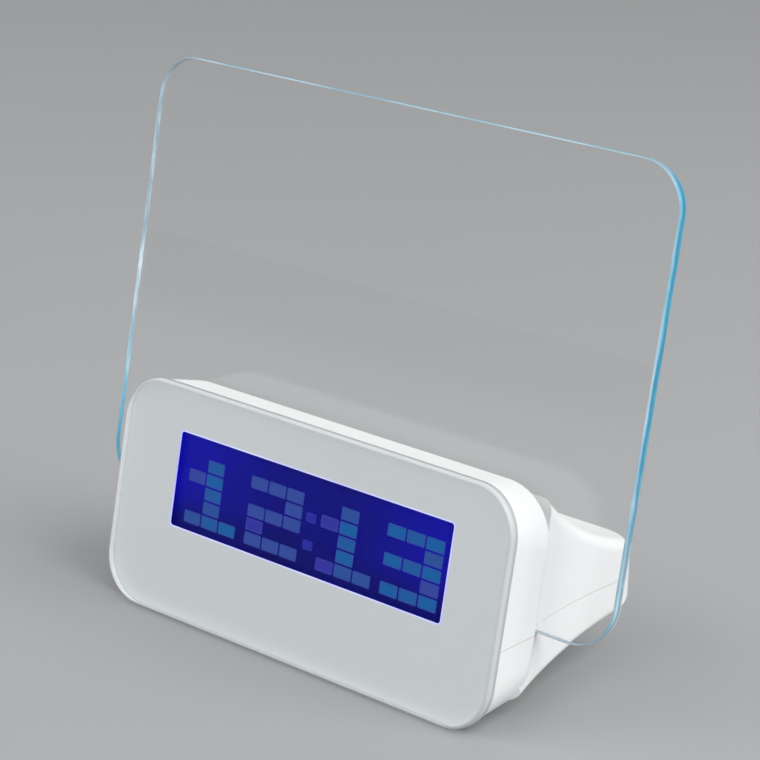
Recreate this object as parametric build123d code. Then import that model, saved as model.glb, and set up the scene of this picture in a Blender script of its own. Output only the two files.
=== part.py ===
# Message board clock: a sloped display housing with a clear lit board standing in its slot
import os
from math import cos, radians, sin, sqrt, tan
from build123d import *

os.makedirs("parts", exist_ok=True)

# Housing, with the face measured up its own slope
face_width = 130.0
face_height = 61.5
face_radius = 12.5
face_tilt = 10.5
body_depth = 73.0
parting_height = 21.5
wall = 1.8
slab_depth = 17.7
slab_rear_radius = 3.0
slab_rear_corner = 15.0
top_fall_share = 0.074
seam_height = 0.22
seam_depth = 0.5

# Tail behind the board
tail_step = 0.4
tail_waist = 5.1
tail_waist_share = 0.68
tail_narrowing = 3.0
tail_corner_radius = 12.0
tail_bottom_radius = 2.2
tail_low_height = 2.4
tail_low_slope = 9.3
tail_blend_slope = 12.0
deck_radius = 80.0
deck_low_height = 27.8
deck_low_share = 1.22
deck_top_share = 0.52
deck_edge_radius = 3.0

# Clear board and the lamps under it
board_width = 169.4
board_height = 118.4
board_thickness = 3.0
board_radius = 12.0
board_gap = 0.3
board_edge_chamfer = 0.25
slot_drop = 1.0
led_count = 8
led_width = 3.0
led_depth = 1.6
led_height = 1.3
led_hole_gap = 0.3
led_span_share = 0.8
strip_thickness = 1.0
strip_depth = 6.4
strip_span_share = 0.9

# Front panel and display
panel_thickness = 2.5
panel_edge_radius = 0.8
mask_thickness = 0.15
mask_inset = 0.1
front_wall = 1.25
window_side_margin = 18.7
window_low_margin = 23.4
window_top_margin = 12.1
window_radius = 1.2
opening_margin = 2.7
lcd_thickness = 2.2
lcd_overlap = 1.8
lcd_radius = 0.8
backlight_thickness = 4.2
zebra_width = 2.0
zebra_margin = 0.4
holder_wall = 2.2
holder_gap = 0.2

# Circuit boards and what they carry
pcb_thickness = 1.6
pcb_radius = 3.0
pcb_edge = 3.0
chip_diameter = 14.0
chip_height = 1.6
chip_round_share = 0.67
crystal_diameter = 2.0
crystal_length = 6.0
capacitor_diameter = 3.4
capacitor_length = 6.0
boss_radius = 2.75
boss_spread_share = 0.3
pcb_screw_diameter = 1.9
pcb_screw_length = 5.5
screw_fit = 0.05

# Keys on the deck
key_names = ["mode", "set", "up", "down"]
key_pitch = 17.0
key_width = 11.0
key_depth = 7.0
key_radius = 2.2
key_rise = 0.9
key_edge_radius = 0.4
key_gap = 0.3
key_row_share = 0.74
key_flange = 1.4
key_flange_height = 1.2
key_stem_diameter = 4.0
key_stem_length = 1.8
key_travel = 0.8
tact_side = 6.0
tact_height = 3.5
plunger_diameter = 3.4
plunger_rise = 1.4
plunger_sink = 1.0

# Rear sockets and switch
inlet_width = 7.7
inlet_height = 3.9
inlet_length = 9.2
inlet_metal = 0.4
inlet_chamfer = 1.2
inlet_offset = 16.0
tongue_width = 4.4
tongue_height = 1.0
tongue_length = 7.0
rear_gap = 0.25
rear_row_height = 11.2
switch_width = 9.0
switch_depth = 4.4
switch_height = 4.6
switch_offset = -18.0
switch_travel = 3.0
knob_width = 3.0
knob_height = 2.4
knob_rise = 1.3
knob_gap = 0.3
knob_groove_count = 3
knob_groove_pitch = 0.8
knob_groove_width = 0.35
knob_groove_depth = 0.3
power_pcb_width = 62.0
power_pcb_depth = 9.0
power_pcb_gap = 1.05
post_radius = 2.8

# Foot under the tail and the battery bay in it
foot_margin = 9.25
foot_block_radius = 6.0
foot_block_edge = 2.4
cell_diameter = 10.5
cell_length = 44.5
cell_count = 3
cell_gap = 0.5
nub_diameter = 3.8
nub_height = 1.0
contact_thickness = 0.4
contact_side = 8.0
spring_length = 5.6
spring_width = 5.0
bay_wall = 1.5
bay_setback = 19.4
door_thickness = 1.6
door_gap = 0.3
door_tongue = 1.5
door_tongue_height = 0.7
door_ledge_height = 0.6
rail_height = 1.5
rail_width = 2.0
grip_count = 4
grip_pitch = 2.2
grip_width = 1.0
grip_depth = 0.4
grip_span = 16.0

# Fastenings, feet, sounder and cable
case_screw_diameter = 2.6
case_screw_length = 7.0
case_screw_seat = 6.0
case_post_radius = 3.6
head_diameter_share = 1.9
head_height_share = 0.7
cross_width_share = 0.3
cross_length_share = 1.1
cross_depth_share = 0.35
screw_front_inset = 15.0
screw_front_setback = 37.0
screw_rear_inset = 20.0
screw_rear_setback = 15.5
pad_radius = 3.4
pad_height = 1.2
pad_rise = 0.6
pad_front_inset = 19.0
pad_front_setback = 9.5
pad_rear_inset = 6.7
pad_rear_setback = 8.0
buzzer_radius = 4.75
buzzer_height = 5.0
buzzer_hole_radius = 1.0
buzzer_ring = 1.0
sound_hole_count = 6
sound_hole_radius = 0.6
sound_hole_ring = 2.4
buzzer_place = (30.0, 11.5)
cable_width = 6.0
cable_thickness = 0.8
cable_offset = -36.0
rib_inset = 23.0
rib_thickness = 1.5

# Derived places
tiny = 0.01
tilt = radians(face_tilt)
face_frame = Plane(origin=(0, 0, 0), x_dir=(1, 0, 0), z_dir=(0, -cos(tilt), sin(tilt))).location
reach = 2 * (board_width + board_height)
half_width = face_width / 2
slab_near = panel_thickness + mask_thickness
slab_back = slab_near + front_wall
slot_width = board_thickness + 2 * board_gap
slot_rear = slab_depth + slot_width
slot_middle = slab_depth + slot_width / 2
slot_floor = (parting_height + slot_middle * sin(tilt)) / cos(tilt) - slot_drop
tail_near = slab_depth - max(slab_rear_radius, 2 * wall) - seam_depth
trough_half = half_width - tail_waist - wall
deck_centre_y = body_depth * deck_low_share
deck_centre_z = deck_low_height + deck_radius
deck_top = deck_centre_z - deck_radius * deck_top_share
window_width = face_width - 2 * window_side_margin
window_height = face_height - window_low_margin - window_top_margin
window_centre = window_low_margin + window_height / 2
opening_width = window_width + 2 * opening_margin
opening_height = window_height + 2 * opening_margin
lcd_width = opening_width + 2 * lcd_overlap
lcd_height = opening_height + 2 * lcd_overlap
lcd_rear = slab_back + lcd_thickness
pcb_near = lcd_rear + backlight_thickness
pcb_far = pcb_near + pcb_thickness
holder_width = lcd_width + 2 * (holder_gap + holder_wall)
holder_height = lcd_height + 2 * (holder_gap + holder_wall)
boss_x = holder_width / 2 + boss_radius + holder_gap
boss_rise = face_height * boss_spread_share
main_pcb_width = 2 * (boss_x + pcb_edge)
main_pcb_height = holder_height + 2 * holder_gap
key_row_y = body_depth * key_row_share
bay_length = cell_length + contact_thickness * 2 + spring_length
bay_span = cell_count * (cell_diameter + cell_gap)
bay_rear = bay_setback + bay_span
door_half = bay_length / 2 + bay_wall + door_gap
frame_half = door_half + door_tongue + rail_width
foot_half_width = frame_half + foot_margin
foot_block_rear = bay_rear + bay_wall + power_pcb_gap + power_pcb_depth + rear_gap + wall
foot_block_top = parting_height - slot_drop - wall
channel_height = door_thickness + door_gap
cell_axis = channel_height + cell_gap + cell_diameter / 2
bay_roof = cell_axis + cell_diameter / 2 + cell_gap
case_seat = parting_height - case_screw_seat


def block(x_low, x_high, y_low, y_high, z_low, z_high):
    """A box between two corners in the body's own axes."""
    solid = Box(x_high - x_low, y_high - y_low, z_high - z_low)
    return Pos((x_low + x_high) / 2, (y_low + y_high) / 2, (z_low + z_high) / 2) * solid


def face_block(x_low, x_high, low, high, near, far):
    """A box laid along the sloped face, from near to far behind it."""
    return face_frame * block(x_low, x_high, low, high, -far, -near)


def level_block(z_low, z_high):
    """Everything between two heights."""
    return block(-reach, reach, -reach, reach, z_low, z_high)


def slot_block(x, width, low, high, depth):
    """A box under the middle of the slot, or through its floor."""
    near = slot_middle - depth / 2
    return face_block(x - width / 2, x + width / 2, low, high, near, near + depth)


def rear_hole(x, z, width, height):
    """A hole through the rear wall of the foot."""
    front = foot_block_rear - 2 * wall
    rear = foot_block_rear + wall
    return block(x - width / 2, x + width / 2, front, rear, z - height / 2, z + height / 2)


def face_plate(width, low, high, near, far, radius):
    """A round-cornered plate parallel to the sloped face."""
    plate = extrude(RectangleRounded(width, high - low, radius), far - near)
    return face_frame * Pos(0, (low + high) / 2, -far) * plate


def window_plate(width, height, near, far, radius):
    """A face plate about the middle of the display."""
    return face_plate(width, window_centre - height / 2, window_centre + height / 2, near, far, radius)


def post(x, y, z_low, z_high, radius):
    """An upright round post."""
    return Pos(x, y, (z_low + z_high) / 2) * Cylinder(radius, z_high - z_low)


def face_post(x, u, near, far, radius):
    """A round post square to the sloped face."""
    return face_frame * Pos(x, u, -(near + far) / 2) * Cylinder(radius, far - near)


def lying_rod(x, y, z, length, radius):
    """A round rod lying across the case."""
    return Pos(x, y, z) * Rot(0, 90, 0) * Cylinder(radius, length)


def screw(diameter, length):
    """A cross-head screw pointing up from under its head."""
    head_radius = diameter * head_diameter_share / 2
    head_height = diameter * head_height_share
    cross_width = diameter * cross_width_share
    cross_length = diameter * cross_length_share
    cross_depth = diameter * cross_depth_share
    solid = Pos(0, 0, length / 2) * Cylinder(diameter / 2, length)
    solid += Pos(0, 0, -head_height / 2) * Cylinder(head_radius, head_height)
    for length_x, length_y in [(cross_length, cross_width), (cross_width, cross_length)]:
        solid -= Pos(0, 0, cross_depth / 2 - head_height) * Box(length_x, length_y, cross_depth)
    return solid


def both_sides(places):
    """The places given for one side, on both sides."""
    return [(side * x, y) for x, y in places for side in (-1, 1)]


def slab_section(depth, inset):
    """The outline of the display slab at one depth behind its face."""
    low = depth * tan(tilt) + inset
    high = face_height - depth * top_fall_share - inset
    radius = face_radius + (slab_rear_corner - face_radius) * depth / slab_depth - inset
    outline = RectangleRounded(face_width - 2 * inset, high - low, radius)
    return face_frame * Pos(0, (low + high) / 2, -depth) * outline


def slab_form(near, far, inset):
    """The display slab between two depths."""
    return loft([slab_section(near, inset), slab_section(far, inset)], ruled=True)


def round_slab(inset):
    """The display slab with its rear edge rounded."""
    slab = slab_form(slab_near, slab_depth - inset, inset)
    rear_edges = slab.faces().sort_by(Axis((0, 0, 0), (0, cos(tilt), -sin(tilt))))[-1].edges()
    return fillet(rear_edges, slab_rear_radius - inset)


def tail_plan(inset):
    """The tail seen from above, waisted at its sides."""
    front = (half_width - tail_step - inset, tail_near)
    waist = (half_width - tail_waist - inset, body_depth * tail_waist_share)
    rear = (half_width - tail_narrowing - inset, body_depth - inset)
    plan = Line((-front[0], 0), (front[0], 0)) + Line((-rear[0], rear[1]), rear)
    for side in (-1, 1):
        points = [(side * x, y) for x, y in (front, waist, rear)]
        plan += Line((points[0][0], 0), points[0]) + ThreePointArc(*points)
    plan = make_face(plan)
    return fillet(plan.vertices().group_by(Axis.Y)[-1], tail_corner_radius - inset)


def tail_space(inset):
    """The room the tail keeps to, opening to the rear from the outline of the slab."""
    near = tail_near + inset
    growth = body_depth * tan(radians(tail_blend_slope))
    low = near * tan(tilt) + inset
    high = face_height - near * top_fall_share - inset
    radius = face_radius + (slab_rear_corner - face_radius) * near / slab_depth - inset
    outline = RectangleRounded(face_width - 2 * inset + 2 * growth, high - low + 2 * growth, radius + growth)
    rear = face_frame * Pos(0, (low + high) / 2, -near - body_depth) * outline
    return loft([slab_section(near, inset), rear], ruled=True)


def deck_height(y, radius):
    """Height of the hollow deck at one place, for a given sweep radius."""
    return deck_centre_z - sqrt(radius**2 - (y - deck_centre_y) ** 2)


def tail_form(inset):
    """The tail with its hollow deck, rounded shoulders and rounded underside."""
    radius = deck_radius + inset
    rear = body_depth - inset
    rear_top = deck_height(rear, radius)
    top_y = deck_centre_y - sqrt(radius**2 - (deck_centre_z - deck_top) ** 2)
    middle_y = (rear + top_y) / 2
    sweep_arc = ThreePointArc(
        (rear, rear_top), (middle_y, deck_height(middle_y, radius)), (top_y, deck_top)
    )
    low = tail_low_height + inset / cos(radians(tail_low_slope))
    rear_low = low + rear * tan(radians(tail_low_slope))
    lines = Polyline((top_y, deck_top), (0, deck_top), (0, low), (rear, rear_low), (rear, rear_top))
    profile = make_face(Plane.YZ * (lines + sweep_arc))
    tail = extrude(tail_plan(inset), reach, both=True) & extrude(profile, reach, both=True)
    floor_edges = tail.faces().sort_by(Axis.Z)[0].edges().filter_by(lambda e: e.center().Y > tiny)
    tail = fillet(floor_edges, tail_bottom_radius - inset)
    deck = tail.faces().filter_by(GeomType.CYLINDER).sort_by(SortBy.AREA)[-1]
    shoulder = deck.edges().filter_by(lambda e: e.center().Z < deck_top - tiny)
    tail = fillet(shoulder, deck_edge_radius - inset)
    return tail & tail_space(inset)


def foot_form(inset):
    """The block under the tail that the clock stands on."""
    front = tail_near + inset
    rear = foot_block_rear - inset
    half = foot_half_width - inset
    plan = Pos(0, (front + rear) / 2) * Rectangle(2 * half, rear - front)
    plan = fillet(plan.vertices().group_by(Axis.Y)[-1], foot_block_radius - inset)
    foot = Pos(0, 0, inset) * extrude(plan, foot_block_top - 2 * inset)
    edges = foot.faces().sort_by(Axis.Z)[0].edges().filter_by(lambda e: e.center().Y > front + tiny)
    foot = fillet(edges, foot_block_edge - inset)
    return foot & face_block(-reach, reach, -reach, reach, tail_near + inset, reach)


def outer_form(inset):
    """The outside of the closed housing, drawn in by an inset."""
    ahead = face_block(-reach, reach, slot_floor, reach, -reach, slot_rear + inset)
    return round_slab(inset) + (tail_form(inset) - ahead) + foot_form(inset)


def trough_zone(half, gap):
    """The walls and floor round the board's slot, with a gap added all round."""
    near = slab_depth - wall - gap
    return face_block(-half, half, slot_floor - wall - gap, reach, near, slot_rear + wall + gap)


def case_bosses():
    """Places of the four case screws."""
    front = (half_width - screw_front_inset, screw_front_setback)
    rear = (half_width - screw_rear_inset, body_depth - screw_rear_setback)
    return both_sides([front, rear])


def pad_places():
    """Places of the four rubber pads."""
    front = (half_width - pad_front_inset, pad_front_setback)
    rear = (foot_half_width - pad_rear_inset, foot_block_rear - pad_rear_setback)
    return both_sides([front, rear])


def key_places():
    """Sideways place of each key."""
    count = len(key_names)
    return {name: (index - (count - 1) / 2) * key_pitch for index, name in enumerate(key_names)}


def led_places():
    """Sideways place of each lamp under the board."""
    span = face_width * led_span_share
    return [span * (index / (led_count - 1) - 1 / 2) for index in range(led_count)]


def closed_housing():
    """The hollow housing before it is parted, with the display opening in its front wall."""
    cavity = slab_form(slab_back, slab_depth - wall, wall) + tail_form(wall) + foot_form(wall)
    cavity -= trough_zone(reach, 0)
    opening = window_plate(opening_width, opening_height, slab_near - wall, slab_back + wall, window_radius)
    seam = level_block(parting_height - seam_height / 2, parting_height + seam_height / 2)
    seam -= outer_form(seam_depth)
    return outer_form(0) - cavity - opening - seam


def key_levels():
    """Heights of the key flange, key circuit board and switch tops, from the deck down."""
    front_low = deck_height(key_row_y + key_depth / 2 + key_flange, deck_radius + wall)
    flange_top = front_low - key_gap
    flange_low = flange_top - key_flange_height
    stem_low = flange_low - key_stem_length
    tact_top = stem_low - plunger_rise
    board_top = tact_top - tact_height
    return flange_top, flange_low, stem_low, tact_top, board_top


def key_board_size():
    """Width and depth of the key circuit board, and the place of its screws."""
    screw_x = len(key_names) * key_pitch / 2 + boss_radius
    return 2 * (screw_x + pcb_edge), tact_side + 2 * pcb_edge, screw_x


def main_boss_places():
    """Places of the four bosses that hold the display board."""
    low = window_centre - boss_rise / 2
    return both_sides([(boss_x, low), (boss_x, low + boss_rise)])


def upper_housing(closed):
    """Upper shell: slab top, hollow deck and the trough that holds the board."""
    above = level_block(parting_height, reach)
    pilot_radius = pcb_screw_diameter / 2 + screw_fit
    trough = closed & trough_zone(trough_half - screw_fit, 0) & level_block(-reach, parting_height)
    shell = (closed & above) + trough
    for x, u in main_boss_places():
        shell += face_post(x, u, slab_back, pcb_near, boss_radius)
        shell -= face_post(x, u, slab_back + front_wall / 2, pcb_far, pilot_radius)
    inside = tail_form(wall / 2) & above
    board_top = key_levels()[-1]
    screw_x = key_board_size()[-1]
    hangers = Part()
    for x in (-screw_x, screw_x):
        hangers += post(x, key_row_y, board_top, face_height, boss_radius)
    for x, y in case_bosses():
        hangers += post(x, y, parting_height, face_height, case_post_radius)
    hangers -= face_block(-reach, reach, -reach, reach, -reach, slot_rear + wall / 2)
    shell += hangers & inside
    for x in (-screw_x, screw_x):
        shell -= post(x, key_row_y, board_top, board_top + pcb_screw_length, pilot_radius)
    for x, y in case_bosses():
        top = parting_height + case_screw_length + wall / 2
        shell -= post(x, y, parting_height, top, case_screw_diameter / 2 + screw_fit)
    for x in key_places().values():
        shell -= key_column(x, key_gap, key_levels()[0], face_height)
    hole_width = led_width + 2 * led_hole_gap
    hole_depth = led_depth + 2 * led_hole_gap
    for x in led_places():
        shell -= slot_block(x, hole_width, slot_floor - wall, slot_floor, hole_depth)
    return shell


def key_column(x, grow, z_low, z_high):
    """An upright column with the outline of one key."""
    outline = RectangleRounded(key_width + 2 * grow, key_depth + 2 * grow, key_radius + grow)
    return Pos(x, key_row_y, z_low) * extrude(outline, z_high - z_low)


def key_cap(x):
    """One key: cap that follows the hollow deck, flange under the deck and stem."""
    flange_top, flange_low, stem_low, _, _ = key_levels()
    sweep_cut = lying_rod(x, deck_centre_y, deck_centre_z, face_width, deck_radius - key_rise)
    cap = key_column(x, 0, flange_top, face_height) - sweep_cut
    top = cap.faces().filter_by(GeomType.CYLINDER).sort_by(SortBy.AREA)[-1]
    cap = fillet(top.edges(), key_edge_radius)
    cap += key_column(x, key_flange, flange_low, flange_top)
    return cap + post(x, key_row_y, stem_low, flange_low, key_stem_diameter / 2)


def key_plunger(x):
    """The push pin of one key switch."""
    _, _, stem_low, tact_top, _ = key_levels()
    return post(x, key_row_y, tact_top - plunger_sink, stem_low, plunger_diameter / 2)


def key_switches():
    """The four switch bodies under the keys."""
    _, _, _, tact_top, board_top = key_levels()
    well_depth = plunger_sink + key_travel + key_gap
    solids = Part()
    for x in key_places().values():
        body = Pos(x, key_row_y, (board_top + tact_top) / 2) * Box(tact_side, tact_side, tact_height)
        solids += body - post(x, key_row_y, tact_top - well_depth, tact_top, plunger_diameter / 2 + key_gap)
    return solids


def key_board():
    """The circuit board under the keys."""
    board_top = key_levels()[-1]
    width, depth, screw_x = key_board_size()
    sheet = extrude(RectangleRounded(width, depth, pcb_radius), pcb_thickness)
    solid = Pos(0, key_row_y, board_top - pcb_thickness) * sheet
    for x in (-screw_x, screw_x):
        solid -= post(x, key_row_y, board_top - pcb_thickness, board_top, pcb_screw_diameter / 2 + screw_fit)
    return solid


def power_levels():
    """Top of the rear circuit board and its span from front to back."""
    top = rear_row_height - inlet_height / 2
    rear = foot_block_rear - wall - rear_gap
    return top, rear - power_pcb_depth, rear


def power_post_places():
    """Places of the two posts under the rear circuit board."""
    _, front, rear = power_levels()
    x = power_pcb_width / 2 - pcb_edge
    return both_sides([(x, (front + rear) / 2)])


def bay_block(grow, z_low, z_high):
    """The battery bay's space with walls grown by a thickness."""
    half = bay_length / 2 + grow
    return block(-half, half, bay_setback - grow, bay_rear + grow, z_low, z_high)


def door_channel(gap, thickness):
    """The flat space the battery cover slides in, open to the rear."""
    half = door_half + gap
    front = bay_setback - bay_wall - gap
    space = block(-half, half, front, foot_block_rear, -wall, thickness + gap)
    tongue_half = half + door_tongue
    low = door_ledge_height + door_gap - gap
    high = low + door_tongue_height + 2 * gap
    return space + block(-tongue_half, tongue_half, front, foot_block_rear, low, high)


def sound_hole_places():
    """A ring of holes and one in the middle, under the sounder."""
    x, y = buzzer_place
    turns = [radians(360 * index / sound_hole_count) for index in range(sound_hole_count)]
    ring = [(x + sound_hole_ring * cos(turn), y + sound_hole_ring * sin(turn)) for turn in turns]
    return [(x, y), *ring]


def base_housing(closed):
    """Lower shell: underside, battery bay, posts and the rear sockets' wall."""
    below = level_block(-reach, parting_height)
    shell = (closed & below) - trough_zone(trough_half, screw_fit)
    limit = (outer_form(wall / 2) & below) - trough_zone(reach, screw_fit)
    added = bay_block(bay_wall, 0, bay_roof + bay_wall)
    frame_front = bay_setback - bay_wall - rail_width
    frame_top = channel_height + rail_height
    added += block(-frame_half, frame_half, frame_front, foot_block_rear, 0, frame_top)
    for x, y in case_bosses():
        added += post(x, y, 0, parting_height, case_post_radius)
    top = power_levels()[0] - pcb_thickness
    for x, y in power_post_places():
        added += post(x, y, 0, top, post_radius)
    added += post(*buzzer_place, 0, wall + buzzer_height / 2, buzzer_radius + buzzer_ring)
    strip_low = slot_floor - wall - strip_thickness
    for x in (rib_inset - half_width, half_width - rib_inset):
        added += slot_block(x, rib_thickness, 0, strip_low, strip_depth)
    shell += added & limit
    shell -= post(*buzzer_place, wall, parting_height, buzzer_radius + screw_fit)
    for x, y in sound_hole_places():
        shell -= post(x, y, -wall, wall, sound_hole_radius)
    shell -= bay_block(0, -wall, bay_roof)
    shell -= door_channel(door_gap, door_thickness)
    head_radius = case_screw_diameter * head_diameter_share / 2 + screw_fit
    for x, y in case_bosses():
        shell -= post(x, y, -wall, parting_height, case_screw_diameter / 2 + screw_fit)
        shell -= post(x, y, -wall, case_seat, head_radius)
    for x, y in power_post_places():
        shell -= post(x, y, top - pcb_screw_length, top, pcb_screw_diameter / 2 + screw_fit)
    for x, y in pad_places():
        shell -= post(x, y, -wall, pad_height - pad_rise, pad_radius + screw_fit)
    shell -= rear_hole(inlet_offset, rear_row_height, inlet_width + 2 * rear_gap, inlet_height + 2 * rear_gap)
    return shell - rear_hole(switch_offset, knob_place(), *knob_slot())


def knob_place():
    """Height of the light switch's knob."""
    return power_levels()[0] + switch_height / 2


def knob_slot():
    """Width and height of the slot the knob slides in."""
    return knob_width + switch_travel + 2 * knob_gap, knob_height + 2 * knob_gap


def light_switch_body():
    """The slide switch on the rear circuit board, with a slot for its knob."""
    rear = power_levels()[-1]
    width, height = knob_slot()
    body = Pos(0, -switch_depth / 2, 0) * Box(switch_width, switch_depth, switch_height)
    return Pos(switch_offset, rear, knob_place()) * (body - Box(width, switch_depth, height))


def light_switch_knob():
    """The sliding knob, at the end of its slot nearest the middle of the case."""
    rear = power_levels()[-1]
    x = switch_offset + switch_travel / 2
    front = rear - switch_depth / 2 + knob_gap
    back = foot_block_rear + knob_rise
    knob = Pos(x, (front + back) / 2, knob_place()) * Box(knob_width, back - front, knob_height)
    for index in range(knob_groove_count):
        place = x + (index - (knob_groove_count - 1) / 2) * knob_groove_pitch
        groove = Box(knob_groove_width, 2 * knob_groove_depth, knob_height)
        knob -= Pos(place, back, knob_place()) * groove
    return knob


def inlet_shell():
    """The metal power socket, with the lower corners of its mouth cut off."""
    outer = inlet_profile(0)
    inner = inlet_profile(inlet_metal)
    rear = foot_block_rear - rear_gap
    solid = Pos(inlet_offset, rear, rear_row_height) * extrude(Plane.XZ * outer, inlet_length)
    hollow = Pos(inlet_offset, rear, rear_row_height) * extrude(Plane.XZ * inner, inlet_length - inlet_metal)
    return solid - hollow


def inlet_profile(inset):
    """Mouth of the power socket."""
    half = inlet_width / 2 - inset
    tall = inlet_height / 2 - inset
    cut = inlet_chamfer
    side = [(half - cut, -tall), (half, cut - tall), (half, tall)]
    return Polygon(*side, *[(-x, z) for x, z in reversed(side)], align=None)


def inlet_tongue():
    """The contact tongue inside the power socket."""
    back = foot_block_rear - rear_gap - inlet_length + inlet_metal
    tongue = Box(tongue_width, tongue_length, tongue_height)
    return Pos(inlet_offset, back + tongue_length / 2, rear_row_height) * tongue


def power_board():
    """The rear circuit board on its two posts."""
    top, front, rear = power_levels()
    solid = block(-power_pcb_width / 2, power_pcb_width / 2, front, rear, top - pcb_thickness, top)
    for x, y in power_post_places():
        solid -= post(x, y, top - pcb_thickness, top, pcb_screw_diameter / 2 + screw_fit)
    return solid


def main_board():
    """The circuit board behind the display."""
    solid = window_plate(main_pcb_width, main_pcb_height, pcb_near, pcb_far, pcb_radius)
    for x, u in main_boss_places():
        solid -= face_post(x, u, pcb_near, pcb_far, pcb_screw_diameter / 2 + screw_fit)
    return solid


def pcb_screws():
    """The screws that hold the three circuit boards."""
    solids = Part()
    for x, u in main_boss_places():
        solids += face_frame * Pos(x, u, -pcb_far) * screw(pcb_screw_diameter, pcb_screw_length)
    board_low = key_levels()[-1] - pcb_thickness
    screw_x = key_board_size()[-1]
    for x in (-screw_x, screw_x):
        solids += Pos(x, key_row_y, board_low) * screw(pcb_screw_diameter, pcb_screw_length)
    top = power_levels()[0]
    for x, y in power_post_places():
        solids += Pos(x, y, top) * Rot(180, 0, 0) * screw(pcb_screw_diameter, pcb_screw_length)
    return solids


def case_screws():
    """The four screws that join the two shells from below."""
    solids = Part()
    for x, y in case_bosses():
        length = case_screw_seat + case_screw_length
        solids += Pos(x, y, case_seat) * screw(case_screw_diameter, length)
    return solids


def front_panel():
    """The clear plate over the whole face, with its front edge rounded."""
    plate = face_plate(face_width, 0, face_height, 0, panel_thickness, face_radius)
    front = plate.faces().sort_by(Axis((0, 0, 0), (0, cos(tilt), -sin(tilt))))[0]
    return fillet(front.edges(), panel_edge_radius)


def panel_mask():
    """The white printed layer behind the panel, open at the display."""
    low = mask_inset
    width = face_width - 2 * low
    mask = face_plate(width, low, face_height - low, panel_thickness, slab_near, face_radius - low)
    return mask - window_plate(window_width, window_height, 0, slab_back, window_radius)


def lcd_glass():
    """The liquid crystal cell behind the front wall."""
    return window_plate(lcd_width, lcd_height, slab_back, lcd_rear, lcd_radius)


def zebra_places():
    """The two rows, above and below the light guide, that take the contact strips."""
    low = window_centre - lcd_height / 2 + zebra_margin
    high = window_centre + lcd_height / 2 - zebra_margin
    return [(low, low + zebra_width), (high - zebra_width, high)]


def zebra_strips():
    """The two rubber contact strips between the display and its board."""
    solids = Part()
    half = lcd_width / 2 - zebra_width
    for low, high in zebra_places():
        solids += face_block(-half, half, low, high, lcd_rear, pcb_near)
    return solids


def lcd_backlight():
    """The light guide block behind the display."""
    low = zebra_places()[0][1] + zebra_margin
    high = zebra_places()[1][0] - zebra_margin
    half = lcd_width / 2 - zebra_margin
    return face_block(-half, half, low, high, lcd_rear, pcb_near)


def lcd_holder():
    """The frame that holds display, strips and light guide on the board."""
    outer = window_plate(holder_width, holder_height, slab_back, pcb_near, holder_wall)
    width = lcd_width + 2 * holder_gap
    height = lcd_height + 2 * holder_gap
    return outer - window_plate(width, height, 0, slab_depth, lcd_radius)


def main_chip():
    """The moulded drop over the clock's chip."""
    drop = Cylinder(chip_diameter / 2, chip_height)
    drop = fillet(drop.edges().group_by(Axis.Z)[0], chip_height * chip_round_share)
    return face_frame * Pos(0, window_centre, -pcb_far - chip_height / 2) * drop


def clock_crystal():
    """The crystal lying on the display board."""
    can = Rot(0, 90, 0) * Cylinder(crystal_diameter / 2, crystal_length)
    return face_frame * Pos(-chip_diameter, window_centre, -pcb_far - crystal_diameter / 2) * can


def capacitors():
    """Two capacitors lying on the display board."""
    solids = Part()
    for side in (-1, 1):
        can = Rot(90, 0, 0) * Cylinder(capacitor_diameter / 2, capacitor_length)
        x = chip_diameter * (2 + side / 2)
        solids += face_frame * Pos(x, window_centre, -pcb_far - capacitor_diameter / 2) * can
    return solids


def message_board():
    """The clear board with rounded corners."""
    low = slot_floor + board_gap
    near = slab_depth + board_gap
    plate = face_plate(board_width, low, low + board_height, near, near + board_thickness, board_radius)
    faces = plate.faces().sort_by(Axis((0, 0, 0), (0, cos(tilt), -sin(tilt))))
    return chamfer(faces[0].edges() + faces[-1].edges(), board_edge_chamfer)


def led_strip():
    """The narrow circuit board under the slot's floor."""
    width = face_width * strip_span_share
    high = slot_floor - wall
    return slot_block(0, width, high - strip_thickness, high, strip_depth)


def board_leds():
    """The lamps that shine up into the board's lower edge."""
    solids = Part()
    low = slot_floor - wall
    for x in led_places():
        solids += slot_block(x, led_width, low, low + led_height, led_depth)
    return solids


def cell_places():
    """Place of each cell along the bay, with the side its button end faces."""
    pitch = cell_diameter + cell_gap
    return [(bay_setback + pitch * (index + 1 / 2), 1 if index % 2 else -1) for index in range(cell_count)]


def battery_cells():
    """The round cells lying across the case, turned about in turn."""
    solids = Part()
    for y, side in cell_places():
        tip = side * (bay_length / 2 - contact_thickness)
        barrel = cell_length - nub_height
        middle = tip - side * (nub_height + barrel / 2)
        solids += lying_rod(middle, y, cell_axis, barrel, cell_diameter / 2)
        solids += lying_rod(tip - side * nub_height / 2, y, cell_axis, nub_height, nub_diameter / 2)
    return solids


def battery_plates():
    """The flat contacts on both ends of the bay."""
    solids = Part()
    half = contact_side / 2
    for y, _ in cell_places():
        for side in (-1, 1):
            x = side * (bay_length - contact_thickness) / 2
            solids += Pos(x, y, cell_axis) * Box(contact_thickness, contact_side, 2 * half)
    return solids


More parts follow.
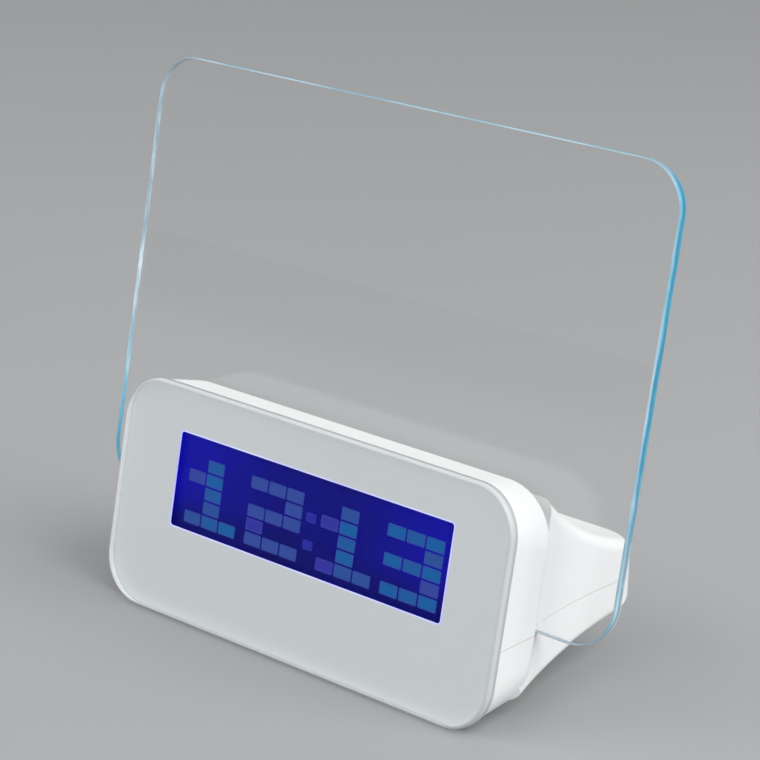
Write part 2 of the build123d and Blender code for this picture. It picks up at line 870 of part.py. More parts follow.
def battery_springs():
    """The bent leaf springs that press on each cell's flat end."""
    solids = Part()
    thick = contact_thickness
    for y, side in cell_places():
        start = side * (thick - bay_length / 2)
        tall = contact_side / 2
        out = spring_length
        outside = [(0, -tall), (out, 0), (0, tall)]
        inside = [(0, tall - 2 * thick), (out - 2 * thick, 0), (0, 2 * thick - tall)]
        bent = Polygon(*outside, *inside, align=None)
        leaf = extrude(Plane.XZ * bent, spring_width / 2, both=True)
        leaf &= block(0, out - thick / 2, -reach, reach, -reach, reach)
        turn = Rot(0, 0, 0) if side > 0 else Rot(0, 0, 180)
        solids += Pos(start, y, cell_axis) * turn * leaf
    return solids


def battery_door(outer):
    """The sliding battery cover, its end rounded with the underside."""
    door = door_channel(0, door_thickness) & outer
    for index in range(grip_count):
        y = bay_rear - index * grip_pitch
        door -= Pos(0, y, 0) * Box(grip_span, grip_width, 2 * grip_depth)
    return door


def rubber_feet():
    """The four pads let into the underside."""
    solids = Part()
    for x, y in pad_places():
        solids += post(x, y, -pad_rise, pad_height - pad_rise, pad_radius)
    return solids


def buzzer():
    """The sounder in its ring, its mouth over the holes in the floor."""
    can = post(*buzzer_place, wall, wall + buzzer_height, buzzer_radius)
    return can - post(*buzzer_place, wall, wall + buzzer_height / 2, buzzer_hole_radius)


def ribbon_cable():
    """The flat cable from the display board under the slot to the key board."""
    start_u = window_centre - main_pcb_height / 2 + pcb_edge
    start = (start_u * sin(tilt) + pcb_far * cos(tilt), start_u * cos(tilt) - pcb_far * sin(tilt))
    board_low = key_levels()[-1] - pcb_thickness
    end_y = key_row_y - tact_side / 2 - pcb_edge / 2
    lead = 2 * pcb_edge
    low = (start[0] + end_y) / 2
    points = [start, (low, cell_axis + lead), (end_y, board_low)]
    line = Spline(*points, tangents=[(cos(tilt), -sin(tilt)), (0, 1)])
    path = Pos(cable_offset, 0, 0) * (Plane.YZ * line)
    across = Plane(origin=path @ 0, x_dir=(1, 0, 0), z_dir=path % 0)
    return sweep(across * Rectangle(cable_width, cable_thickness), path)


closed = closed_housing()
nodes = {
    "upper_housing": upper_housing(closed),
    "base_housing": base_housing(closed),
    "front_panel": front_panel(),
    "panel_mask": panel_mask(),
    "message_board": message_board(),
    "board_led_strip": led_strip(),
    "board_leds": board_leds(),
    "lcd_glass": lcd_glass(),
    "lcd_backlight": lcd_backlight(),
    "lcd_holder": lcd_holder(),
    "zebra_strips": zebra_strips(),
    "main_pcb": main_board(),
    "main_chip": main_chip(),
    "clock_crystal": clock_crystal(),
    "capacitors": capacitors(),
    "key_pcb": key_board(),
    "key_switches": key_switches(),
    "power_pcb": power_board(),
    "power_inlet": inlet_shell(),
    "inlet_tongue": inlet_tongue(),
    "light_switch_body": light_switch_body(),
    "light_switch_knob": light_switch_knob(),
    "battery_cells": battery_cells(),
    "battery_plates": battery_plates(),
    "battery_springs": battery_springs(),
    "battery_door": battery_door(outer_form(0)),
    "pcb_screws": pcb_screws(),
    "case_screws": case_screws(),
    "rubber_feet": rubber_feet(),
    "buzzer": buzzer(),
    "ribbon_cable": ribbon_cable(),
}
for key_name, key_x in key_places().items():
    nodes[key_name + "_key"] = key_cap(key_x)
    nodes[key_name + "_plunger"] = key_plunger(key_x)

# The frame stands under the middle of the whole clock
boxes = [node.bounding_box() for node in nodes.values()]
middle_y = (min(box.min.Y for box in boxes) + max(box.max.Y for box in boxes)) / 2
lowest_z = min(box.min.Z for box in boxes)
for node_name, node in nodes.items():
    export_step(Pos(0, -middle_y, -lowest_z) * node, f"parts/{node_name}.step")
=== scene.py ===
"""Dresses the message board clock: clear board, lit display, white case and its fittings."""

from math import cos, pi, radians, sin

import bmesh
import bpy
from mathutils import Matrix, Vector


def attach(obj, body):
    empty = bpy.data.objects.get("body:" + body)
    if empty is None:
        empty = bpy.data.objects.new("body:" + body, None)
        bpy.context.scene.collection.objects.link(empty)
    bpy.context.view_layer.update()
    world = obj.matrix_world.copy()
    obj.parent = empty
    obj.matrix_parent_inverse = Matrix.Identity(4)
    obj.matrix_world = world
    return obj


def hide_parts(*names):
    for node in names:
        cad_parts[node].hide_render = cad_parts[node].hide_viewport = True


bl_info = {
    "name": "Message Board Clock",
    "version": (1, 0, 0),
    "blender": (4, 5, 0),
    "location": "View3D > Sidebar > Clock",
    "description": "Dresses a desk clock with a clear lit writing board",
    "category": "Object",
}

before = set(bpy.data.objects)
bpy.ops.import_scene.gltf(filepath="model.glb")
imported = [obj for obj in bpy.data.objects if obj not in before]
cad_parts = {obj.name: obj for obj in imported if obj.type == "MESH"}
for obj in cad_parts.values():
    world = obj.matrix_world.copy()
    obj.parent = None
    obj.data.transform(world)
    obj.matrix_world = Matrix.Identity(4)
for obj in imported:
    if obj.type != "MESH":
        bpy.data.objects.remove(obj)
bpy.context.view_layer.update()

MM = 0.001
WHITE = (1.0, 1.0, 1.0, 1.0)
ABS_IOR = 1.53
ACRYLIC_IOR = 1.49
GRAIN_DEPTH = 0.05 * MM
PLATE_CORNER_STEPS = 16
PLATE_EDGE_STEPS = 6
WINDOW_CORNER_STEPS = 10
BLOCK_CORNER_STEPS = 3

# Sloped face: x to the right, y up the slope, z out towards the reader
FACE_TILT = radians(10.5)
FACE_FOOT = Vector((0, -36.566, 0.6)) * MM
FACE = Matrix.Translation(FACE_FOOT) @ Matrix.Rotation(pi / 2 - FACE_TILT, 4, "X")
UP_THE_FACE = (0, 1, 0)
BEHIND_THE_FACE = (0, 0, -1)

KEYS = ["mode", "set", "up", "down"]

# Blocks of each digit, from its top row down
DIGIT_ROWS = {
    "0": ["###", "#.#", "#.#", "#.#", "###"],
    "1": [".#.", "##.", ".#.", ".#.", "###"],
    "2": ["###", "..#", "###", "#..", "###"],
    "3": ["###", "..#", "###", "..#", "###"],
    "4": ["#.#", "#.#", "###", "..#", "..#"],
    "5": ["###", "#..", "###", "..#", "###"],
    "6": ["###", "#..", "###", "#.#", "###"],
    "7": ["###", "..#", "..#", "..#", "..#"],
    "8": ["###", "#.#", "###", "#.#", "###"],
    "9": ["###", "#.#", "###", "..#", "###"],
}
LIT_MARK = "#"

# Strength of the lit blocks: in turn within a digit, in the whole second digit, in the colon, and in
# single weaker blocks by digit, row and column
TURN_TONES = (1.0, 0.9)
SECOND_DIGIT_TONE = 0.72
COLON_TONE = 0.2
WEAKER_TONES = {
    0.8: {(0, 3, 1), (0, 4, 0), (2, 0, 1), (2, 4, 1), (2, 4, 2), (3, 1, 2)},
    0.64: {(0, 1, 0), (3, 3, 2)},
    0.42: {(1, 3, 0), (2, 1, 0), (2, 4, 0)},
}

# Stage, in metres: each lamp has its place, the side of its square and its power in watts
LAMPS = {
    "key_lamp": ((1.15, 0.12, 1.05), 1.3, 19.8),
    "fill_lamp": ((-0.9, -0.9, 1.0), 1.2, 9.0),
}
LAMP_AIM = Vector((0, 0, 0.06))
FLOOR_HALF = 4.0
SENSOR_WIDTH_MM = 36.0

# Settings that many nodes share
OF_COLOURS = {"data_type": "RGBA"}
SOFT_STEP = {"interpolation_type": "SMOOTHSTEP"}
SUM = {"operation": "ADD"}
DIFFERENCE = {"operation": "SUBTRACT"}
PRODUCT = {"operation": "MULTIPLY"}
PRODUCT_AND_SUM = {"operation": "MULTIPLY_ADD"}
WITHOUT_SIGN = {"operation": "ABSOLUTE"}
ABOVE = {"operation": "GREATER_THAN"}
BELOW = {"operation": "LESS_THAN"}


# Colour and node helpers


def linear(code):
    """A linear colour from an sRGB hex value."""
    parts = [int(code[place:place + 2], 16) / 255 for place in (0, 2, 4)]
    return tuple(part / 12.92 if part <= 0.04045 else ((part + 0.055) / 1.055) ** 2.4 for part in parts)


def opaque(colour):
    """A linear colour with full cover."""
    return (*colour, 1.0)


def rgba(code):
    """A colour with full cover from an sRGB hex value."""
    return opaque(linear(code))


def add(tree, kind, settings=None, stops=(), **links):
    """Adds one node with its own settings and colour stops, and fills or links its inputs.

    A node given for an input is linked by its first output in use.
    """
    node = tree.nodes.new(kind)
    for name, value in (settings or {}).items():
        setattr(node, name, value)
    for index, (spot, colour) in enumerate(stops):
        elements = node.color_ramp.elements
        element = elements[index] if index < 2 else elements.new(spot)
        element.position = spot
        element.color = colour
    for name, value in links.items():
        socket = node.inputs[int(name[1:])] if name[1:].isdigit() else node.inputs[name.replace("_", " ")]
        if isinstance(value, bpy.types.Node):
            value = next(output for output in value.outputs if output.enabled)
        if isinstance(value, bpy.types.NodeSocket):
            tree.links.new(value, socket)
        else:
            socket.default_value = value
    return node


def new_material(name):
    """An empty node material and its tree."""
    material = bpy.data.materials.new(name)
    material.use_nodes = True
    material.node_tree.nodes.clear()
    return material, material.node_tree


def close(material, shader):
    """Wires a shader to the surface of its material."""
    add(material.node_tree, "ShaderNodeOutputMaterial", Surface=shader)
    return material


def shadowless(tree, shader):
    """The same surface, letting the lamps through to what is behind it."""
    passing = add(tree, "ShaderNodeBsdfTransparent", Color=WHITE)
    path = add(tree, "ShaderNodeLightPath").outputs
    return add(tree, "ShaderNodeMixShader", i0=path["Is Shadow Ray"], i1=shader, i2=passing)


def per_metre(millimetres):
    """Texture scale whose features are about this size."""
    return 1 / (millimetres * MM)


def face_distance(tree, place, direction):
    """Distance of a point from the foot of the sloped face, along one of the face's own directions."""
    direction = FACE.to_3x3() @ Vector(direction)
    length = add(tree, "ShaderNodeVectorMath", {"operation": "DOT_PRODUCT"}, i0=place, i1=direction)
    return add(tree, "ShaderNodeMath", DIFFERENCE, i0=length.outputs["Value"], i1=direction.dot(FACE_FOOT))


# Materials, each named for what the real surface is; some also carry painted light, as their docstrings say


def moulded_plastic(name, colour, roughness, grain_mm=0.35, grain=0.04, cloud=0.02):
    """Moulded ABS: even colour, soft gloss, a faint spark-eroded grain and slow tone changes."""
    material, tree = new_material(name)
    place = add(tree, "ShaderNodeTexCoord").outputs["Object"]
    slow = add(tree, "ShaderNodeTexNoise", Vector=place, Scale=per_metre(30), Detail=2.0)
    # The grain is drawn coarser than the real one, so that it shows
    fine = add(tree, "ShaderNodeTexNoise", Vector=place, Scale=per_metre(grain_mm), Detail=2.0)
    darker = opaque(part * (1 - cloud) for part in linear(colour))
    tone = add(tree, "ShaderNodeMix", OF_COLOURS, i0=slow, i6=darker, i7=rgba(colour))
    gloss = add(tree, "ShaderNodeMapRange", Value=fine, To_Min=roughness - 0.04, To_Max=roughness + 0.06)
    bump = add(tree, "ShaderNodeBump", Strength=grain, Distance=GRAIN_DEPTH, Height=fine)
    shader = add(
        tree, "ShaderNodeBsdfPrincipled", Base_Color=tone, Roughness=gloss, Normal=bump, IOR=ABS_IOR
    )
    return close(material, shader)


def painted_slot_glow(material, board):
    """Painted light: a glow laid on the walls of the board's slot, standing in for the light of the lamps
    under the board, added to a moulded finish.
    """
    tree = material.node_tree
    shader = next(node for node in tree.nodes if node.type == "BSDF_PRINCIPLED")
    place = add(tree, "ShaderNodeTexCoord").outputs["Object"]
    depth = face_distance(tree, place, BEHIND_THE_FACE)
    height = face_distance(tree, place, UP_THE_FACE)
    fade_start, fade_end = (board.low + share * board.height for share in (0.19, 0.25))
    level = add(
        tree,
        "ShaderNodeMapRange",
        SOFT_STEP,
        Value=height,
        From_Min=fade_start,
        From_Max=fade_end,
        To_Min=board.slot_glow,
        To_Max=board.slot_top_glow,
    )
    slack = 0.35 * MM
    slot_rear = board.depth + board.thickness
    for value, test, limit in (
        (depth, ABOVE, board.depth - slack),
        (depth, BELOW, slot_rear + slack),
        (height, ABOVE, board.low - slack),
    ):
        inside = add(tree, "ShaderNodeMath", test, i0=value, i1=limit)
        level = add(tree, "ShaderNodeMath", PRODUCT, i0=level, i1=inside)
    # Painted light: pale emission on the slot's walls, strongest low down and fading up the slot
    shader.inputs["Emission Color"].default_value = rgba("EAF2F5")
    tree.links.new(level.outputs[0], shader.inputs["Emission Strength"])


def plated_metal(name, colour, roughness):
    """Plated sheet or turned metal: bright, with faint drawn lines."""
    material, tree = new_material(name)
    place = add(tree, "ShaderNodeTexCoord").outputs["Object"]
    # The lines are drawn coarser than the real ones, so that they show
    line_scale = [per_metre(size) for size in (0.2, 4, 0.2)]
    stretch = add(tree, "ShaderNodeMapping", Vector=place, Scale=line_scale)
    lines = add(tree, "ShaderNodeTexNoise", Vector=stretch, Scale=1.0, Detail=3.0)
    gloss = add(tree, "ShaderNodeMapRange", Value=lines, To_Min=roughness - 0.08, To_Max=roughness + 0.1)
    bump = add(tree, "ShaderNodeBump", Strength=0.05, Distance=GRAIN_DEPTH, Height=lines)
    shader = add(
        tree,
        "ShaderNodeBsdfPrincipled",
        Base_Color=rgba(colour),
        Metallic=1.0,
        Roughness=gloss,
        Normal=bump,
    )
    return close(material, shader)


def clear_board_acrylic():
    """Cast acrylic: clear, bends what is seen through it, and lets lamps through to what is behind."""
    material, tree = new_material("cast_clear_acrylic")
    shader = add(
        tree,
        "ShaderNodeBsdfPrincipled",
        Base_Color=WHITE,
        Transmission_Weight=1.0,
        Roughness=0.0,
        IOR=ACRYLIC_IOR,
    )
    return close(material, shadowless(tree, shader))


def clear_plate_acrylic():
    """Coated acrylic laid on print: clear, with a weak outer gloss that grows at grazing views."""
    material, tree = new_material("polished_clear_acrylic")
    place = add(tree, "ShaderNodeTexCoord").outputs["Object"]
    wipes = add(tree, "ShaderNodeTexNoise", Vector=place, Scale=per_metre(22), Detail=2.0)
    haze = add(tree, "ShaderNodeMapRange", Value=wipes, To_Min=0.02, To_Max=0.07)
    mirror = add(tree, "ShaderNodeBsdfGlossy", Color=WHITE, Roughness=haze)
    passing = add(tree, "ShaderNodeBsdfTransparent", Color=WHITE)
    rising = add(tree, "ShaderNodeFresnel", IOR=ACRYLIC_IOR)
    inner = add(tree, "ShaderNodeNewGeometry").outputs["Backfacing"]
    outer = add(tree, "ShaderNodeMath", DIFFERENCE, i0=1.0, i1=inner)
    share = add(tree, "ShaderNodeMath", PRODUCT, i0=rising, i1=outer)
    coating_share = 0.08
    coated = add(tree, "ShaderNodeMath", PRODUCT, i0=share, i1=coating_share)
    return close(material, add(tree, "ShaderNodeMixShader", i0=coated, i1=passing, i2=mirror))


def clear_plate_edge():
    """Polished edge of the plate, its tones painted: grey from outside, a painted view of the print through
    the clear edge, and bright with a painted glow from inside, where light leaves the plate.
    """
    material, tree = new_material("polished_acrylic_edge_painted_light")
    place = add(tree, "ShaderNodeTexCoord").outputs["Object"]
    bands = add(tree, "ShaderNodeTexNoise", Vector=place, Scale=per_metre(18), Detail=1.0)
    # Painted grey from outside, standing in for the print seen through the clear edge
    tone = add(tree, "ShaderNodeMix", OF_COLOURS, i0=bands, i6=rgba("CBCFD1"), i7=rgba("D6DADB"))
    outside = add(tree, "ShaderNodeBsdfPrincipled", Base_Color=tone, Roughness=0.2, IOR=ACRYLIC_IOR)
    # Painted light from inside: a pale tone with a weak glow
    inside = add(
        tree,
        "ShaderNodeBsdfPrincipled",
        Base_Color=rgba("DDE1E1"),
        Roughness=0.4,
        Emission_Color=rgba("E4E9E8"),
        Emission_Strength=0.08,
    )
    side = add(tree, "ShaderNodeNewGeometry").outputs["Backfacing"]
    solid = add(tree, "ShaderNodeMixShader", i0=side, i1=outside, i2=inside)
    return close(material, shadowless(tree, solid))


def painted_light_edge(board):
    """Edge of the board, polished acrylic whose colours are painted light: a painted glow, painted teal
    reflections streaked along its sides, painted paler near the case, pale elsewhere.
    """
    material, tree = new_material("edge_painted_glow_acrylic")
    place = add(tree, "ShaderNodeTexCoord").outputs["Object"]
    bright, blue, deep = opaque(board.edge_bright), opaque(board.edge_blue), opaque(board.edge_deep)
    low, line, plain = opaque(board.edge_low), opaque(board.edge_line), opaque(board.edge_pale)
    # Painted reflections: noise stretched along the edge, for the surroundings seen streaked in it
    streak_scale = [per_metre(size) for size in (4, 4, 13)]
    stretch = add(tree, "ShaderNodeMapping", Vector=place, Scale=streak_scale)
    reflection_streaks = add(tree, "ShaderNodeTexNoise", Vector=stretch, Scale=1.0, Detail=3.0, Roughness=0.6)
    across = add(
        tree,
        "ShaderNodeMapRange",
        Value=face_distance(tree, place, BEHIND_THE_FACE),
        From_Min=board.depth,
        From_Max=board.depth + board.thickness,
        To_Min=-0.45,
        To_Max=0.55,
    )
    wander = add(tree, "ShaderNodeMath", SUM, i0=across, i1=reflection_streaks)
    # Painted glow and reflections: teal at the sides, and paler with a darker line near the case
    teal_stops = [(0.12, bright), (0.3, blue), (0.55, deep), (0.68, deep), (0.95, blue)]
    teal = add(tree, "ShaderNodeValToRGB", stops=teal_stops, Fac=wander)
    pale_stops = [(0.15, low), (0.55, line), (0.68, line), (0.95, low)]
    pale = add(tree, "ShaderNodeValToRGB", stops=pale_stops, Fac=wander)
    case_start, case_end = (board.low + share * board.height for share in (0.12, 0.46))
    beside_case = add(
        tree,
        "ShaderNodeMapRange",
        SOFT_STEP,
        Value=face_distance(tree, place, UP_THE_FACE),
        From_Min=case_start,
        From_Max=case_end,
        To_Min=0.92,
        To_Max=0.0,
    )
    # The top and lower edges are painted pale; where the edge is seen from inside through the board it gets
    # other painted tones and painted white glints
    facing = add(tree, "ShaderNodeNewGeometry").outputs
    normal = add(tree, "ShaderNodeSeparateXYZ", Vector=facing["Normal"]).outputs
    turned = add(tree, "ShaderNodeMath", WITHOUT_SIGN, i0=normal["X"])
    sideways = add(tree, "ShaderNodeMapRange", SOFT_STEP, Value=turned, From_Min=0.3, From_Max=0.95)
    streaky = add(tree, "ShaderNodeMix", OF_COLOURS, i0=beside_case, i6=teal, i7=pale)
    outside = add(tree, "ShaderNodeMix", OF_COLOURS, i0=sideways, i6=plain, i7=streaky)
    glint_stops = [(0.36, plain), (0.58, opaque(board.edge_inner)), (0.7, rgba("F0F6F8"))]
    glints = add(tree, "ShaderNodeValToRGB", stops=glint_stops, Fac=reflection_streaks)
    toward_foot = add(tree, "ShaderNodeMix", OF_COLOURS, i0=beside_case, i6=glints, i7=blue)
    foot = opaque(board.edge_foot)
    inside = add(tree, "ShaderNodeMix", OF_COLOURS, i0=sideways, i6=foot, i7=toward_foot)
    shown = add(tree, "ShaderNodeMix", OF_COLOURS, i0=facing["Backfacing"], i6=outside, i7=inside)
    # Painted glow: the edge gives off light of its own, more where it is seen from inside through the board
    glow = add(
        tree,
        "ShaderNodeMath",
        PRODUCT_AND_SUM,
        i0=facing["Backfacing"],
        i1=board.inner_glow,
        i2=board.edge_glow,
    )
    shader = add(
        tree,
        "ShaderNodeBsdfPrincipled",
        Base_Color=shown,
        Roughness=0.25,
        IOR=ACRYLIC_IOR,
        Emission_Color=shown,
        Emission_Strength=glow,
    )
    return close(material, shader)


def edge_glint(board):
    """Broken front edge of the board: a thin pale line where the polish catches the light."""
    material, tree = new_material("polished_edge_glint")
    place = add(tree, "ShaderNodeTexCoord").outputs["Object"]
    patches = add(tree, "ShaderNodeTexNoise", Vector=place, Scale=per_metre(16), Detail=2.0)
    glint_stops = [(0.38, rgba("80A8BA")), (0.66, rgba("AAC3CF"))]
    tone = add(tree, "ShaderNodeValToRGB", stops=glint_stops, Fac=patches)
    shader = add(
        tree,
        "ShaderNodeBsdfPrincipled",
        Base_Color=tone,
        Roughness=0.2,
        IOR=ACRYLIC_IOR,
        Emission_Color=tone,
        Emission_Strength=board.edge_glow,
    )
    return close(material, shader)


def display_cell(display, name, strength):
    """Backlit liquid crystal: deep blue light, brighter at the upper ends and dimmer towards its foot, and
    dark along its top and right rim, where the backlight falls off and painted shade of the window's recessed
    edge is added.
    """
    material, tree = new_material(name)
    place = add(tree, "ShaderNodeTexCoord").outputs["Object"]
    clouds = add(tree, "ShaderNodeTexNoise", Vector=place, Scale=per_metre(28), Detail=1.0)
    x = add(tree, "ShaderNodeSeparateXYZ", Vector=place).outputs["X"]
    away = add(tree, "ShaderNodeMath", WITHOUT_SIGN, i0=x)
    height = face_distance(tree, place, UP_THE_FACE)
    wide, tall, middle = display.window_width, display.window_height, display.window_middle
    # Soft steps: towards both ends, from the foot to the middle, and painted shade along the top and along
    # the right rim
    steps = []
    for value, start, end, top in (
        (away, 0.12 * wide, 0.46 * wide, 0.5),
        (height, middle - 0.5 * tall, middle, 1.0),
        (height, middle + 0.42 * tall, middle + 0.49 * tall, 0.4),
        (x, 0.462 * wide, 0.492 * wide, 0.5),
    ):
        step = add(
            tree, "ShaderNodeMapRange", SOFT_STEP, Value=value, From_Min=start, From_Max=end, To_Max=top
        )
        steps.append(step)
    ends, upper, top_rim_shade, side = steps
    lit_ends = add(tree, "ShaderNodeMath", PRODUCT, i0=ends, i1=upper)
    upper_share, cloud_share = 0.32, 0.4
    rise = add(tree, "ShaderNodeMath", PRODUCT_AND_SUM, i0=upper, i1=upper_share, i2=lit_ends)
    cloudy = add(tree, "ShaderNodeMath", PRODUCT_AND_SUM, i0=clouds, i1=cloud_share, i2=rise)
    rim_shade = add(tree, "ShaderNodeMath", SUM, i0=top_rim_shade, i1=side)
    level = add(tree, "ShaderNodeMath", DIFFERENCE, i0=cloudy, i1=rim_shade)
    cell_stops = [(0.1, opaque(display.cell_dim_and_rim_shade)), (1.0, opaque(display.cell_bright))]
    tone = add(tree, "ShaderNodeValToRGB", stops=cell_stops, Fac=level)
    shader = add(
        tree,
        "ShaderNodeBsdfPrincipled",
        Base_Color=(0.002, 0.002, 0.01, 1.0),
        Roughness=0.5,
        Specular_IOR_Level=0.1,
        Emission_Color=tone,
        Emission_Strength=display.cell_glow * strength,
    )
    return close(material, shader)


def lit_block(display):
    """Lit blocks of the digits: violet where the cell is weak, teal where strong, paler towards the rim."""
    material, tree = new_material("lit_crystal_block")
    strength = add(tree, "ShaderNodeAttribute", {"attribute_name": "tone"}).outputs["Fac"]
    codes = {0.2: "232897", 0.42: "312F98", 0.7: "324795", 0.8: "274D91", 0.9: "1B5597", 1.0: "115A9A"}
    block_stops = [(spot, rgba(code)) for spot, code in codes.items()]
    tone = add(tree, "ShaderNodeValToRGB", stops=block_stops, Fac=strength)
    place = add(tree, "ShaderNodeTexCoord").outputs["Object"]
    x = add(tree, "ShaderNodeSeparateXYZ", Vector=place).outputs["X"]
    height = face_distance(tree, place, UP_THE_FACE)
    reach = []
    for value, centre, size in (
        (x, "middle_x", display.block_width),
        (height, "middle_y", display.block_height),
    ):
        middle = add(tree, "ShaderNodeAttribute", {"attribute_name": centre}).outputs["Fac"]
        off = add(tree, "ShaderNodeMath", DIFFERENCE, i0=value, i1=middle)
        away = add(tree, "ShaderNodeMath", WITHOUT_SIGN, i0=off)
        near_rim = add(
            tree,
            "ShaderNodeMapRange",
            SOFT_STEP,
            Value=away,
            From_Min=size / 2 - display.block_soft,
            From_Max=size / 2,
            To_Max=0.55,
        )
        reach.append(near_rim)
    rim = add(tree, "ShaderNodeMath", {"operation": "MAXIMUM"}, i0=reach[0], i1=reach[1])
    shown = add(tree, "ShaderNodeMix", OF_COLOURS, i0=rim, i6=tone, i7=rgba("34409A"))
    shader = add(
        tree,
        "ShaderNodeBsdfPrincipled",
        Base_Color=(0.002, 0.003, 0.01, 1.0),
        Roughness=0.5,
        Specular_IOR_Level=0.1,
        Emission_Color=shown,
        Emission_Strength=display.cell_glow,
    )
    return close(material, shader)


def glowing_line(display):
    """Cut edge of the printed layer with a painted glow, standing in for the display's light behind it."""
    material, tree = new_material("lit_print_edge")
    place = add(tree, "ShaderNodeTexCoord").outputs["Object"]
    patches = add(tree, "ShaderNodeTexNoise", Vector=place, Scale=per_metre(14), Detail=1.0)
    tone = add(tree, "ShaderNodeMix", OF_COLOURS, i0=patches, i6=rgba("A9A6F0"), i7=rgba("D4D8FF"))
    shader = add(
        tree,
        "ShaderNodeBsdfPrincipled",
        Base_Color=tone,
        Roughness=0.5,
        Emission_Color=tone,
        Emission_Strength=display.rim_glow,
    )
    return close(material, shader)


def lacquered_board(name, colour, track_colour):
    """Circuit board: lacquer over copper tracks, which show as slightly paler, raised lines."""
    material, tree = new_material(name)
    tracks = add(
        tree,
        "ShaderNodeTexBrick",
        {"offset": 0.5},
        Vector=add(tree, "ShaderNodeTexCoord").outputs["Object"],
        Color1=rgba(colour),
        Color2=rgba(colour),
        Mortar=rgba(track_colour),
        Scale=per_metre(12),
        Mortar_Size=0.03,
    ).outputs
    bump = add(tree, "ShaderNodeBump", Strength=0.2, Distance=GRAIN_DEPTH, Height=tracks["Fac"])
    shader = add(tree, "ShaderNodeBsdfPrincipled", Base_Color=tracks["Color"], Roughness=0.35, Normal=bump)
    return close(material, shader)


def soft_rubber(name, colour):
    """Moulded rubber: dull, with a fine powdery grain."""
    return moulded_plastic(name, colour, 0.72, grain_mm=0.25, grain=0.15, cloud=0.12)


def plain_floor(colour):
    """Floor sheet: pale and dull, with slow tone changes."""
    material, tree = new_material("plain_pale_floor")
    place = add(tree, "ShaderNodeTexCoord").outputs["Object"]
    clouds = add(tree, "ShaderNodeTexNoise", Vector=place, Scale=per_metre(120), Detail=2.0)
    darker = opaque(part * 0.97 for part in colour)
    tone = add(tree, "ShaderNodeMix", OF_COLOURS, i0=clouds, i6=darker, i7=opaque(colour))
    return close(material, add(tree, "ShaderNodeBsdfPrincipled", Base_Color=tone, Roughness=0.85))


def paint_nodes(names, material):
    """Gives CAD nodes a finish."""
    for name in names:
        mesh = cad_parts[name].data
        mesh.materials.clear()
        mesh.materials.append(material)


# Mesh helpers


def round_outline(width, height, radius, steps, inset=0.0):
    """Points of a round-cornered rectangle about the origin, anticlockwise, drawn in by an inset."""
    radius = radius - inset
    reach_x = (width - 2 * inset) / 2 - radius
    reach_y = (height - 2 * inset) / 2 - radius
    points = []
    for turn, (side_x, side_y) in enumerate([(1, 1), (-1, 1), (-1, -1), (1, -1)]):
        for step in range(steps + 1):
            angle = (turn + step / steps) * pi / 2
            points.append((side_x * reach_x + radius * cos(angle), side_y * reach_y + radius * sin(angle)))
    return points


def ring_shape(rings):
    """A new shape with a loop of points for each outline and its z, and those loops."""
    shape = bmesh.new()
    return shape, [[shape.verts.new((x, y, z)) for x, y in points] for points, z in rings]


def band(shape, near, far):
    """Faces between two matching loops."""
    count = len(near)
    pairs = [(index, (index + 1) % count) for index in range(count)]
    return [shape.faces.new((near[one], near[after], far[after], far[one])) for one, after in pairs]


def shape_piece(name, shape, place, materials):
    """Turns a shape to its place and keeps it as a piece."""
    bmesh.ops.transform(shape, matrix=place, verts=shape.verts)
    mesh = bpy.data.meshes.new(name)
    shape.to_mesh(mesh)
    shape.free()
    for material in materials:
        mesh.materials.append(material)
    return link_piece(name, mesh)


def stacked_plate(name, rings, place, materials, side_slots):
    """A plate from matching outlines stacked along z, closed at both ends, with a finish for each band."""
    shape, loops = ring_shape(rings)
    for lower, upper, slot in zip(loops, loops[1:], side_slots):
        for face in band(shape, lower, upper):
            face.material_index = slot
            face.smooth = True
    shape.faces.new(list(reversed(loops[0])))
    shape.faces.new(loops[-1])
    return shape_piece(name, shape, place, materials)


def closed_ring(name, rings, place, material):
    """A frame from matching outlines joined in turn, the last one to the first."""
    shape, loops = ring_shape(rings)
    for near, far in zip(loops, loops[1:] + loops[:1]):
        band(shape, near, far)
    bmesh.ops.recalc_face_normals(shape, faces=shape.faces)
    return shape_piece(name, shape, place, [material])


def link_piece(name, mesh):
    """Puts a mesh in the scene as a piece at the origin."""
    piece = bpy.data.objects.new(name, mesh)
    bpy.context.scene.collection.objects.link(piece)
    return piece


def block_rows():
    """A node tree that puts one round-cornered block on every point of a mesh, turned with the face."""
    tree = bpy.data.node_groups.new("block_rows", "GeometryNodeTree")
    tree.interface.new_socket("Geometry", in_out="INPUT", socket_type="NodeSocketGeometry")
    for label in ("Width", "Height", "Corner", "Thickness"):
        tree.interface.new_socket(label, in_out="INPUT", socket_type="NodeSocketFloat")
    tree.interface.new_socket("Finish", in_out="INPUT", socket_type="NodeSocketMaterial")
    tree.interface.new_socket("Geometry", in_out="OUTPUT", socket_type="NodeSocketGeometry")
    given = add(tree, "NodeGroupInput").outputs
    outline = add(
        tree, "GeometryNodeCurvePrimitiveQuadrilateral", Width=given["Width"], Height=given["Height"]
    )
    rounded = add(
        tree,
        "GeometryNodeFilletCurve",
        {"mode": "POLY"},
        Curve=outline,
        Count=BLOCK_CORNER_STEPS,
        Radius=given["Corner"],
    )
    filled = add(tree, "GeometryNodeFillCurve", Curve=rounded)
    solid = add(
        tree, "GeometryNodeExtrudeMesh", Mesh=filled, Offset_Scale=given["Thickness"], Individual=False
    )
    rows = add(
        tree,
        "GeometryNodeInstanceOnPoints",
        Points=given["Geometry"],
        Instance=solid,
        Rotation=FACE.to_euler(),
    )
    real = add(tree, "GeometryNodeRealizeInstances", Geometry=rows)
    finish = add(tree, "GeometryNodeSetMaterial", Geometry=real, Material=given["Finish"])
    add(tree, "NodeGroupOutput", Geometry=finish)
    return tree


